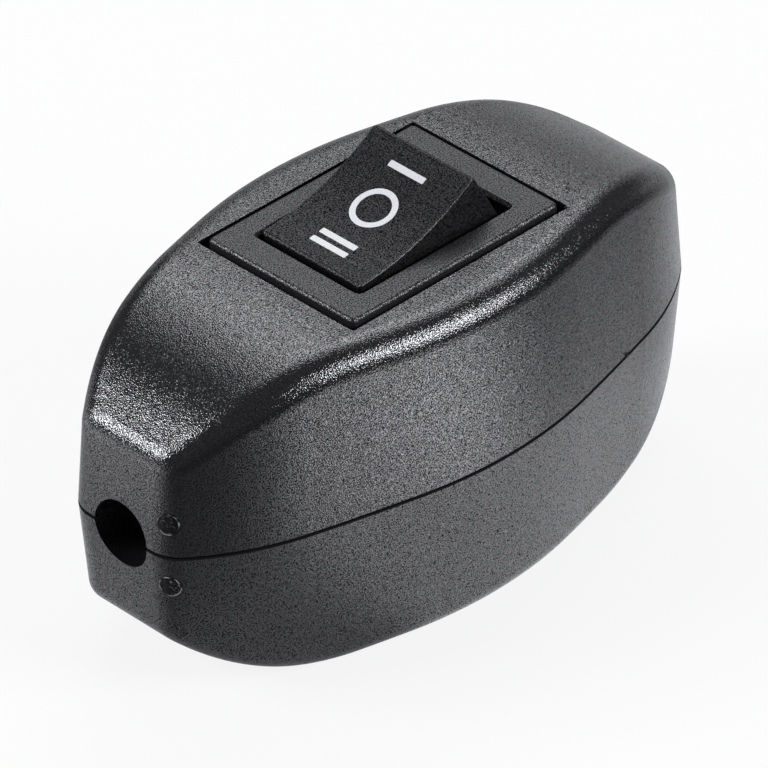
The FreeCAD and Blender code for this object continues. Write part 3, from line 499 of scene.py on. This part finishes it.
def thread_tree():
    """A tapering three-sided ridge wound as a right-handed helix, set on each point of a mesh."""
    sizes = ("Radius", "Turns", "Length", "Ridge")
    tree, value = new_tree("screw_thread", {"Points": "object", "Lean": "vector", "Steel": "material",
                                            **{size: "float" for size in sizes}})
    helix = add(tree, "GeometryNodeCurveSpiral", {"Resolution": TURN_STEPS, "Rotations": value["Turns"],
                                                  "Start Radius": value["Radius"],
                                                  "End Radius": value["Radius"], "Height": value["Length"]})
    level = add(tree, "GeometryNodeSetCurveNormal", {"Curve": helix.outputs[0]}, mode="Z_UP")
    along = add(tree, "GeometryNodeSplineParameter").outputs["Factor"]
    past_middle = add(tree, "ShaderNodeMath", {0: along, 1: 0.5}, operation="SUBTRACT")
    off_middle = add(tree, "ShaderNodeMath", {0: past_middle.outputs[0]}, operation="ABSOLUTE")
    taper = add(tree, "ShaderNodeMapRange", {"Value": off_middle.outputs[0], "From Min": 0.5,
                                             "From Max": 0.5 - RUN_OUT, "To Min": RUN_OUT_RIDGE,
                                             "To Max": 1.0})
    ridge = add(tree, "GeometryNodeCurvePrimitiveCircle", {"Resolution": 3, "Radius": value["Ridge"]})
    thread = add(tree, "GeometryNodeCurveToMesh", {"Curve": level.outputs[0], "Scale": taper.outputs[0],
                                                   "Profile Curve": ridge.outputs[0], "Fill Caps": True})
    points = add(tree, "GeometryNodeObjectInfo", {"Object": value["Points"]}).outputs["Geometry"]
    screws = add(tree, "GeometryNodeInstanceOnPoints", {"Points": points, "Instance": thread.outputs[0],
                                                        "Rotation": value["Lean"]})
    close_tree(tree, screws.outputs[0], value["Steel"])
    return tree


# For each kind of screw: its nodes, whether it points up, its shank's radius, and how much of its length the
# thread leaves bare under the head and at the tip, in millimetres
SCREWS = {
    "housing_threads": (("housing_screw_one", "housing_screw_two"), True, 1.25, 8.2, 0.6),
    "clamp_threads": (("clamp_screw_one", "clamp_screw_two", "clamp_screw_three", "clamp_screw_four"),
                      False, 1.0, 2.4, 0.5),
}


class CORDSWITCH_OT_threads(bpy.types.Operator):
    """Wind the threads on the housing screws and the clamp screws"""
    bl_idname = "cordswitch.threads"
    bl_label = "Screw threads"

    def execute(self, context):
        values = context.scene.cordswitch_metals
        tree = thread_tree()
        steel = bpy.data.materials["zinc_plated_steel"]
        for name, (nodes, up, radius, bare_head, bare_tip) in SCREWS.items():
            low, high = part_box(nodes[0])
            length = high.z - low.z - (bare_head + bare_tip) * MM
            start = low.z + bare_head * MM if up else high.z - bare_head * MM
            boxes = [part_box(node) for node in nodes]
            seats = bpy.data.meshes.new(name + "_seats")
            seats.from_pydata([((a.x + b.x) / 2, (a.y + b.y) / 2, start) for a, b in boxes], [], [])
            points = bpy.data.objects.new(name + "_seats", seats)
            pitch = values.housing_thread if up else values.clamp_thread
            threads = bake(name, tree, {
                "Points": points, "Lean": (0 if up else math.pi, 0, 0), "Steel": steel,
                "Radius": radius * MM, "Turns": length / pitch, "Length": length,
                "Ridge": values.thread_height})
            bpy.data.objects.remove(points)
            if not threads.data.polygons:
                raise RuntimeError(f"{name} came out empty")
            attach(threads, "housing")
        return {"FINISHED"}


def surface_of(node_name):
    """A tree of a CAD node's faces, for dropping points onto them."""
    mesh = frame["nodes"][node_name].data
    return BVHTree.FromPolygons([v.co for v in mesh.vertices], [p.vertices for p in mesh.polygons])


def finish_piece(name, bm, material, body):
    """Turns a bmesh into a smooth piece of the shells' plastic that rides on a body, its normals outward."""
    bmesh.ops.recalc_face_normals(bm, faces=bm.faces)
    mesh = bpy.data.meshes.new(name)
    bm.to_mesh(mesh)
    bm.free()
    mesh.shade_smooth()
    mesh.materials.append(material)
    piece = bpy.data.objects.new(name, mesh)
    bpy.context.scene.collection.objects.link(piece)
    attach(piece, body)


def torn_abs(colour):
    """ABS where the gate was twisted off: smoother than the grain and darker, a painted shade, and white along
    its tears, partly as stress whitening and partly as a painted highlight on them.
    """
    # Painted shade: the scar is darker than the shell, and mirrors less
    dark_share = 0.5
    dark = [channel * dark_share for channel in colour[:3]] + [1.0]
    # Painted highlight with stress whitening: the tears' tops turn pale
    whitened_and_highlit = linear("#98989c")
    tear_pitch, tear_depth = 0.12 * MM, 0.04 * MM
    material, tree, shader = new_material("torn_abs", {
        "Roughness": 0.25, "IOR": 1.54, "Specular IOR Level": 0.25})
    place = add(tree, "ShaderNodeTexCoord").outputs["Object"]
    stress_and_highlight = add(tree, "ShaderNodeAttribute", attribute_name="whitening_and_highlight").outputs["Fac"]
    shade = add(tree, "ShaderNodeMix", {"Factor": stress_and_highlight, 6: dark, 7: whitened_and_highlit}, data_type="RGBA")
    tears = add(tree, "ShaderNodeTexNoise", {"Vector": place, "Scale": 1 / tear_pitch, "Detail": 2.0,
                                             "Distortion": 0.8})
    bump = add(tree, "ShaderNodeBump", {"Height": tears.outputs[0], "Distance": tear_depth})
    connect(tree, shader, {"Base Color": shade.outputs[2], "Normal": bump.outputs[0]})
    return material


def held(value):
    """A value held between 0 and 1."""
    return min(1.0, max(0.0, value))


def gate_relief(rho, angle, seed):
    """Height of a gate scar, from 0 to 1, at a share rho of its radius.

    A broken rim stands round a rough floor that torn ridges cross. Each noise is written as its mean and its
    swing, and runs faster the more its place is multiplied.
    """
    rim_place, rim_width = 0.86, 0.06
    ridge_height, ridge_width, ridge_reach = 0.85, 0.09, 0.8
    floor_height, edge_width = 0.1, 0.08
    around = Vector((math.cos(angle), math.sin(angle), seed))
    spot = Vector((rho * math.cos(angle), rho * math.sin(angle), seed))
    rim_strength = held(0.75 + 1.1 * noise.noise(around * 1.9))
    off_rim = rho - rim_place - 0.05 * noise.noise(spot * 2)
    rim = rim_strength * math.exp(-(off_rim / rim_width) ** 2)
    ridge = 0.0
    if rho < ridge_reach:
        ridge_strength = held(0.85 + 1.6 * noise.noise(spot * 2.2 + Vector((5, 0, 0))))
        off_ridge = abs(noise.noise(spot * 3.2 + Vector((0, 0, 7))))
        ridge = ridge_height * ridge_strength * max(0.0, 1 - off_ridge / ridge_width)
    rough = floor_height * (1 + noise.noise(spot * 9))
    edge = min(1.0, (1 - rho) / edge_width)
    return max(rim, ridge, rough) * edge


# The gates sit on the upright corner between the II end's face and the side: its place, and the way it faces
GATE_CORNER = Vector((-25.98, -4.46, 0)) * MM
GATE_OUTWARD = Vector((-0.9, -0.43, 0)).normalized()
# How far out the rays start that find the shell under a scar
GATE_START = 5 * MM
# Rings and steps of a scar's mesh, how far it is sunk into the shell, and its least height above the shell
GATE_RINGS = 40
GATE_STEPS = 128
GATE_SINK = 0.05 * MM
GATE_SKIN = 0.004 * MM
# The relief from which tears are white, partly as stress whitening and partly as a painted highlight, and
# the relief of the scar's middle
WHITE_FROM = 0.4
MIDDLE_RELIEF = 0.1


def make_gate(name, node_name, height, values, seed, material):
    """A gate scar: a disc of rings that is dropped onto the shell and raised by its relief."""
    across = Vector((0, 0, 1)).cross(GATE_OUTWARD)
    start = GATE_CORNER + Vector((0, 0, height)) + GATE_OUTWARD * GATE_START
    surface = surface_of(node_name)
    bm = bmesh.new()
    whitening_and_highlight = bm.verts.layers.float.new("whitening_and_highlight")
    tops, bottoms = [], []
    for ring in range(1, GATE_RINGS + 1):
        rho = ring / GATE_RINGS
        for step in range(GATE_STEPS):
            angle = 2 * math.pi * step / GATE_STEPS
            offset = (across * math.cos(angle) + Vector((0, 0, math.sin(angle)))) * rho * values.gate_radius
            hit = surface.ray_cast(start + offset, -GATE_OUTWARD)[0]
            if hit is None:
                raise RuntimeError(f"{name} missed {node_name}")
            relief = gate_relief(rho, angle, seed)
            skin = GATE_SKIN if ring < GATE_RINGS else 0.0
            tops.append(bm.verts.new(hit + GATE_OUTWARD * (values.gate_relief * relief + skin)))
            # Painted highlight with stress whitening: the higher the relief, the paler
            tops[-1][whitening_and_highlight] = max(0.0, relief - WHITE_FROM) / (1 - WHITE_FROM)
            bottoms.append(bm.verts.new(hit - GATE_OUTWARD * GATE_SINK))
    hit = surface.ray_cast(start, -GATE_OUTWARD)[0]
    top_middle = bm.verts.new(hit + GATE_OUTWARD * values.gate_relief * MIDDLE_RELIEF)
    bottom_middle = bm.verts.new(hit - GATE_OUTWARD * GATE_SINK)
    for layer, middle in ((tops, top_middle), (bottoms, bottom_middle)):
        for step in range(GATE_STEPS):
            after = (step + 1) % GATE_STEPS
            bm.faces.new((middle, layer[step], layer[after]))
            for ring in range(GATE_RINGS - 1):
                a, b = ring * GATE_STEPS, (ring + 1) * GATE_STEPS
                bm.faces.new((layer[a + step], layer[b + step], layer[b + after], layer[a + after]))
    last = (GATE_RINGS - 1) * GATE_STEPS
    for step in range(GATE_STEPS):
        after = (step + 1) % GATE_STEPS
        bm.faces.new((tops[last + step], bottoms[last + step], bottoms[last + after], tops[last + after]))
    finish_piece(name, bm, material, "housing")


# Slivers of flash: name, middle of the foot in millimetres, the way it runs, the way it stands, length and
# height in millimetres, how many times the flash's thickness it has, and seed. A whisker stands on the seam
# at the side, towards the I end, and a flake at the recess's corner above it.
FLASH = (
    ("seam_whisker", (14.304, -10.52, 13.614), (0.93, 0.25, 0.27), (0.253, -0.965, 0.07),
     0.42, 0.16, 1, 2.0),
    ("recess_flake", (10.8, -7.9, 27.0), (0.8, -0.6, 0.0), (0.0, 0.0, 1.0),
     0.6, 0.14, 2, 5.0),
)
# Stations along a sliver, how thick its ends are as a share of its middle, how far its foot is sunk into the
# shell, and how much it leans along its run
FLASH_STATIONS = 12
FLASH_ENDS = 0.02
FLASH_SINK = 0.03 * MM
FLASH_LEAN = 0.2


def make_flash(name, foot, along, outward, length, height, thickness, seed, material):
    """A sliver of flash: a thin ragged fin that tapers at both ends and leans along its run."""
    side = along.cross(outward).normalized()
    bm = bmesh.new()
    rows = []
    for station in range(FLASH_STATIONS + 1):
        share = station / FLASH_STATIONS
        ragged = 0.75 + 0.5 * noise.noise(Vector((4 * share, seed, 0)))
        swell = math.sin(math.pi * share) ** 0.6 * ragged + FLASH_ENDS
        middle = foot + along * (share - 0.5) * length
        half = side * thickness * 0.5 * swell
        sunk = middle - outward * FLASH_SINK
        crest = middle + outward * height * swell + along * FLASH_LEAN * height * share
        places = (sunk - half, sunk + half, crest + half * 0.5, crest - half * 0.5)
        rows.append([bm.verts.new(place) for place in places])
    for before, after in zip(rows, rows[1:]):
        for corner in range(4):
            onward = (corner + 1) % 4
            bm.faces.new((before[corner], before[onward], after[onward], after[corner]))
    bm.faces.new(rows[0])
    bm.faces.new(rows[-1][::-1])
    finish_piece(name, bm, material, "housing")


class CORDSWITCH_OT_gates(bpy.types.Operator):
    """Break off the mould gates by the II end's cord hole, and leave the mould's flash"""
    bl_idname = "cordswitch.gates"
    bl_label = "Gate scars and flash"

    def execute(self, context):
        values = context.scene.cordswitch_scars
        torn = torn_abs(context.scene.cordswitch_plastics.shell_colour)
        make_gate("gate_scar_upper", "upper_housing", SEAM_HEIGHT + values.upper_gate, values, 3.0, torn)
        make_gate("gate_scar_lower", "lower_housing", SEAM_HEIGHT - values.lower_gate, values, 11.0, torn)
        shell = bpy.data.materials["spark_eroded_abs"]
        for name, foot, along, outward, length, height, layers, seed in FLASH:
            make_flash(name, Vector(foot) * MM, Vector(along).normalized(), Vector(outward), length * MM,
                       height * MM, layers * values.flash_thickness, seed, shell)
        return {"FINISHED"}


def direction(azimuth, elevation):
    """Unit vector from the switch at an azimuth and elevation, where azimuth 0 is towards -Y."""
    level = math.cos(elevation)
    return Vector((math.sin(azimuth) * level, -math.cos(azimuth) * level, math.sin(elevation)))


# How far the middle of the picture is from the middle of the switch's seam, to the left and down
AIM_LEFT = 0.103 * MM
AIM_DOWN = 0.312 * MM


def make_camera(values):
    """Camera at the fitted place, moved a little in its own plane so that it needs no lens shift."""
    back = direction(values.azimuth, values.elevation)
    right = Vector((0, 0, 1)).cross(back).normalized()
    up = back.cross(right)
    across = right * math.cos(values.roll) + up * math.sin(values.roll)
    upwards = up * math.cos(values.roll) - right * math.sin(values.roll)
    target = Vector((0, 0, SEAM_HEIGHT)) - across * AIM_LEFT - upwards * AIM_DOWN
    data = bpy.data.cameras.new("camera")
    data.lens = values.lens
    data.clip_start = 0.01
    data.clip_end = 20.0
    camera = bpy.data.objects.new("camera", data)
    turn = Matrix((across, upwards, back)).transposed()
    camera.matrix_world = Matrix.Translation(target + back * values.distance) @ turn.to_4x4()
    bpy.context.scene.collection.objects.link(camera)
    bpy.context.scene.camera = camera


# Daylight tubes: a trace of blue
LAMP_COLOUR = linear("#f9faff")
# Softboxes: name, azimuth and elevation in degrees, distance, width and height in millimetres, and
# brightness, where 1 shows as white in a mirror
SOFTBOXES = (
    ("end_softbox", 233.0, 32.0, 600, 290, 210, 12.8),
    ("side_softbox", 24.0, 28.0, 600, 300, 250, 12.0),
    ("back_softbox", 132.0, 55.0, 420, 340, 260, 2.7),
    ("rear_card", 127.0, 15.0, 600, 420, 260, 0.62),
)


def make_softbox(name, azimuth, elevation, distance, width, height, brightness):
    """Rectangular area lamp that faces the switch."""
    data = bpy.data.lights.new(name, "AREA")
    data.shape = "RECTANGLE"
    data.size = width * MM
    data.size_y = height * MM
    data.energy = brightness * math.pi * data.size * data.size_y
    data.color = LAMP_COLOUR[:3]
    lamp = bpy.data.objects.new(name, data)
    towards = direction(math.radians(azimuth), math.radians(elevation))
    lamp.location = towards * distance * MM
    lamp.rotation_euler = towards.to_track_quat("Z", "Y").to_euler()
    bpy.context.scene.collection.objects.link(lamp)


# Light on the floor as the plastic mirrors it, in soft-edged rounds: azimuth and distance of the middle,
# full and outer radius in millimetres, and brightness, where 1 is white. The rounds that are brighter than
# white stand for light cards that lie by the switch and beyond its end.
FLOOR_LIGHT = (
    (0.0, 0.0, 45.0, 80.0, 0.55),
    (5.0, 32.0, 4.0, 46.0, 0.35),
    (10.0, 58.0, 10.0, 32.0, 2.3),
    (100.0, 55.0, 5.0, 45.0, 0.3),
    (240.0, 330.0, 250.0, 290.0, 1.5),
    (127.0, 330.0, 230.0, 280.0, 0.7),
)
# Light that comes back from under the switch's own edge: full and outer radius, and brightness
CONTACT_LIGHT = (28.0, 37.0, 0.22)
# The photographer's shade on it: its azimuth, how far from that it begins and is full, and what it leaves
SHADE_AZIMUTH = 296.0
SHADE_ANGLES = (42.0, 14.0)
SHADE_LEAVES = 0.25
# How far the floor reaches each way, in metres, and how far it is under the bottom face, so that the two
# don't fight for the same plane
FLOOR_REACH = 6.0
FLOOR_GAP = 0.02 * MM
# How much of what the camera sees of the floor is plain white, and the rest shows the switch's shadow
WHITE_SHARE = 0.85
# Brightness of the room round the stage
ROOM_LEVEL = 0.09


def soft_round(tree, place, middle, inner, outer, brightness):
    """A soft-edged round of light on the floor."""
    away = add(tree, "ShaderNodeVectorMath", {0: place, 1: middle}, operation="DISTANCE")
    return add(tree, "ShaderNodeMapRange", {"Value": away.outputs["Value"], "From Min": inner * MM,
                                            "From Max": outer * MM, "To Min": brightness, "To Max": 0.0},
               interpolation_type="SMOOTHSTEP").outputs[0]


def mirrored_level(tree):
    """How bright a mirrored ray finds each place on the floor: lit near the switch, and dark far from it."""
    place = add(tree, "ShaderNodeTexCoord").outputs["Object"]
    way = add(tree, "ShaderNodeVectorMath", {0: place}, operation="NORMALIZE")
    shade_way = direction(math.radians(SHADE_AZIMUTH), 0)
    nearness = add(tree, "ShaderNodeVectorMath", {0: way.outputs[0], 1: shade_way}, operation="DOT_PRODUCT")
    begin, full = (math.cos(math.radians(angle)) for angle in SHADE_ANGLES)
    open_light = add(tree, "ShaderNodeMapRange", {"Value": nearness.outputs["Value"], "From Min": begin,
                                                  "From Max": full, "To Min": 1.0, "To Max": SHADE_LEAVES},
                     interpolation_type="SMOOTHSTEP").outputs[0]
    total = 0.0
    for azimuth, distance, inner, outer, brightness in FLOOR_LIGHT:
        middle = direction(math.radians(azimuth), 0) * distance * MM
        spot = soft_round(tree, place, middle, inner, outer, brightness)
        total = add(tree, "ShaderNodeMath", {0: total, 1: spot}, operation="ADD").outputs[0]
    contact = soft_round(tree, place, Vector(), *CONTACT_LIGHT)
    return add(tree, "ShaderNodeMath", {0: open_light, 1: total, 2: contact},
               operation="MULTIPLY_ADD").outputs[0]


def white_floor(colour):
    """A floor that the camera sees almost white, and that the plastic mirrors with FLOOR_LIGHT on it."""
    material = bpy.data.materials.new("white_floor")
    material.use_nodes = True
    tree = material.node_tree
    tree.nodes.clear()
    lit = add(tree, "ShaderNodeBsdfDiffuse", {"Color": colour})
    path = add(tree, "ShaderNodeLightPath").outputs
    mirrored = add(tree, "ShaderNodeEmission", {"Color": LAMP_COLOUR, "Strength": mirrored_level(tree)})
    white = add(tree, "ShaderNodeEmission", {"Color": (1, 1, 1, 1), "Strength": 1.0})
    share = add(tree, "ShaderNodeMath", {0: path["Is Camera Ray"], 1: WHITE_SHARE}, operation="MULTIPLY")
    seen = add(tree, "ShaderNodeMixShader", {0: share.outputs[0], 1: lit.outputs[0], 2: white.outputs[0]})
    clear = add(tree, "ShaderNodeMath", {0: path["Is Glossy Ray"], 1: path["Is Transmission Ray"]},
                operation="MAXIMUM")
    shown = add(tree, "ShaderNodeMixShader", {0: clear.outputs[0], 1: seen.outputs[0],
                                              2: mirrored.outputs[0]})
    add(tree, "ShaderNodeOutputMaterial", {"Surface": shown.outputs[0]})
    return material


def make_floor(colour):
    """A square floor just under the bottom face."""
    signs = ((-1, -1), (1, -1), (1, 1), (-1, 1))
    corners = [(x * FLOOR_REACH, y * FLOOR_REACH, -FLOOR_GAP) for x, y in signs]
    mesh = bpy.data.meshes.new("floor")
    mesh.from_pydata(corners, [], [(0, 1, 2, 3)])
    mesh.materials.append(white_floor(colour))
    floor = bpy.data.objects.new("floor", mesh)
    bpy.context.scene.collection.objects.link(floor)


def make_world(level):
    """A dim grey room: the floor fills what the camera sees."""
    world = bpy.data.worlds.new("studio")
    bpy.context.scene.world = world
    world.use_nodes = True
    tree = world.node_tree
    tree.nodes.clear()
    room = add(tree, "ShaderNodeBackground", {"Color": (1, 1, 1, 1), "Strength": level})
    add(tree, "ShaderNodeOutputWorld", {"Surface": room.outputs[0]})


class CORDSWITCH_OT_stage(bpy.types.Operator):
    """Make the camera, the floor, the softboxes and the room"""
    bl_idname = "cordswitch.stage"
    bl_label = "Stage"

    def execute(self, context):
        values = context.scene.cordswitch_stage
        make_camera(values)
        make_floor(values.floor_colour)
        make_world(ROOM_LEVEL)
        for softbox in SOFTBOXES:
            make_softbox(*softbox)
        context.scene.view_settings.view_transform = "Standard"
        return {"FINISHED"}


OPERATORS = (
    CORDSWITCH_OT_plastics,
    CORDSWITCH_OT_metals,
    CORDSWITCH_OT_marks,
    CORDSWITCH_OT_threads,
    CORDSWITCH_OT_gates,
    CORDSWITCH_OT_stage,
)
GROUPS = {
    "cordswitch_plastics": CordSwitchPlastics,
    "cordswitch_metals": CordSwitchMetals,
    "cordswitch_marks": CordSwitchMarks,
    "cordswitch_scars": CordSwitchMouldScars,
    "cordswitch_stage": CordSwitchStage,
}


class CORDSWITCH_PT_panel(bpy.types.Panel):
    """Shows a button for each step of the scene in the sidebar"""
    bl_idname = "CORDSWITCH_PT_panel"
    bl_label = "Cord Switch"
    bl_space_type = "VIEW_3D"
    bl_region_type = "UI"
    bl_category = "Cord Switch"

    def draw(self, context):
        for operator in OPERATORS:
            self.layout.operator(operator.bl_idname)


def register():
    for cls in (*GROUPS.values(), *OPERATORS, CORDSWITCH_PT_panel):
        bpy.utils.register_class(cls)
    for name, group in GROUPS.items():
        setattr(bpy.types.Scene, name, bpy.props.PointerProperty(type=group))


def unregister():
    for name in GROUPS:
        delattr(bpy.types.Scene, name)
    for cls in (CORDSWITCH_PT_panel, *reversed(OPERATORS), *reversed(GROUPS.values())):
        bpy.utils.unregister_class(cls)


def main():
    """Makes the whole scene."""
    register()
    for operator in OPERATORS:
        group, name = operator.bl_idname.split(".")
        getattr(getattr(bpy.ops, group), name)()


if __name__ == "__main__":
    main()
